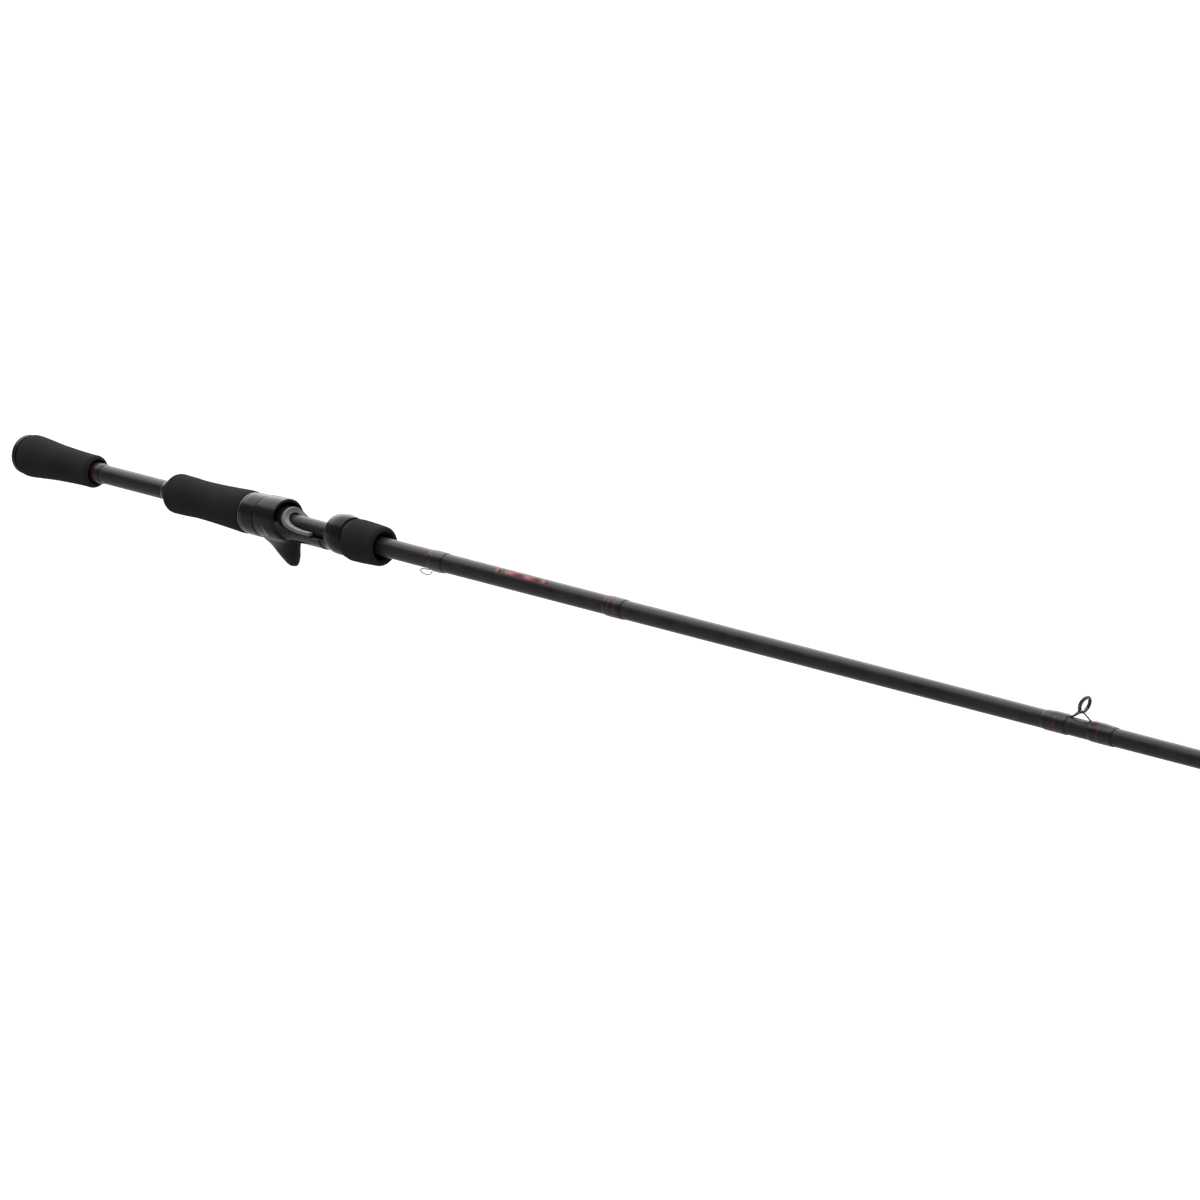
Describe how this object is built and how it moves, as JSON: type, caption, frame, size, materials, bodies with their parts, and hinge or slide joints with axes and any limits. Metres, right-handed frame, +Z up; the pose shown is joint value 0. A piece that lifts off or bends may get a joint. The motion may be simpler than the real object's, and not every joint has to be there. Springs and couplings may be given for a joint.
{
  "type": "casting fishing rod",
  "caption": "Straight casting fishing rod with split foam grips, trigger reel seat with a screw-locked sliding hood, hook keeper and ringed line guides to a tip-top.",
  "frame": {"origin": "centre of the butt cap's flat end face, on the rod's axis", "axes": "+X along the rod from butt to tip; +Z up, to the side that the reel and the line guides are on; the trigger points to -Z"},
  "size_m": [2.1337, 0.0258, 0.0435],
  "materials": {
    "carbon_blank": "dark grey carbon composite tube, satin varnish",
    "black_foam": "fine-celled EVA foam, matte",
    "cap_rubber": "smooth moulded rubber",
    "seat_gloss": "glossy black moulded nylon",
    "rail_grey": "satin dark grey moulded plastic",
    "nut_plastic": "semi-gloss black plastic",
    "silver_trim": "bright turned aluminium",
    "thread_varnish": "black binding thread under clear epoxy",
    "guide_metal": "stainless steel wire, dark polished coating",
    "ring_ceramic": "polished dark ceramic"
  },
  "bodies": {
    "rod": {"blank": "carbon_blank", "butt_cap": "cap_rubber", "butt_grip": "black_foam", "rear_grip": "black_foam", "rear_ring": "silver_trim", "seat_ring": "silver_trim", "reel_seat": "seat_gloss", "foot_rail": "rail_grey", "rear_check": "nut_plastic", "butt_wrap": "thread_varnish", "keeper_wrap": "thread_varnish", "trim_wrap": "thread_varnish", "tip_wrap": "thread_varnish", "hook_keeper": "guide_metal", "tip_frame": "guide_metal", "tip_ring": "ring_ceramic", "guide_8_frame": "guide_metal", "guide_8_ring": "ring_ceramic", "guide_8_front_wrap": "thread_varnish", "guide_8_rear_wrap": "thread_varnish", "guide_7_frame": "guide_metal", "guide_7_ring": "ring_ceramic", "guide_7_front_wrap": "thread_varnish", "guide_7_rear_wrap": "thread_varnish", "guide_6_frame": "guide_metal", "guide_6_ring": "ring_ceramic", "guide_6_front_wrap": "thread_varnish", "guide_6_rear_wrap": "thread_varnish", "guide_5_frame": "guide_metal", "guide_5_ring": "ring_ceramic", "guide_5_front_wrap": "thread_varnish", "guide_4_frame": "guide_metal", "guide_4_ring": "ring_ceramic", "guide_4_front_wrap": "thread_varnish", "guide_3_frame": "guide_metal", "guide_3_ring": "ring_ceramic", "guide_3_front_wrap": "thread_varnish", "guide_2_frame": "guide_metal", "guide_2_ring": "ring_ceramic", "guide_2_front_wrap": "thread_varnish", "guide_1_frame": "guide_metal", "guide_1_ring": "ring_ceramic", "guide_1_front_wrap": "thread_varnish"},
    "hood": {"sliding_hood": "seat_gloss", "slide_ring": "nut_plastic"},
    "nut": {"lock_nut": "nut_plastic", "foregrip": "black_foam"}
  },
  "joints": [
    {"name": "hood_slide", "type": "slide", "parent": "rod", "child": "hood", "axis": [1, 0, 0], "range_m": [-0.004, 0.01]},
    {"name": "nut_turn", "type": "hinge", "parent": "hood", "child": "nut", "pos_m": [0.31, 0, 0], "axis": [1, 0, 0], "range_deg": [-720, 1800]}
  ],
  "couplings": [
    {"joint": "hood_slide", "follows": "nut_turn", "m_per_rad": 0.00031831}
  ]
}
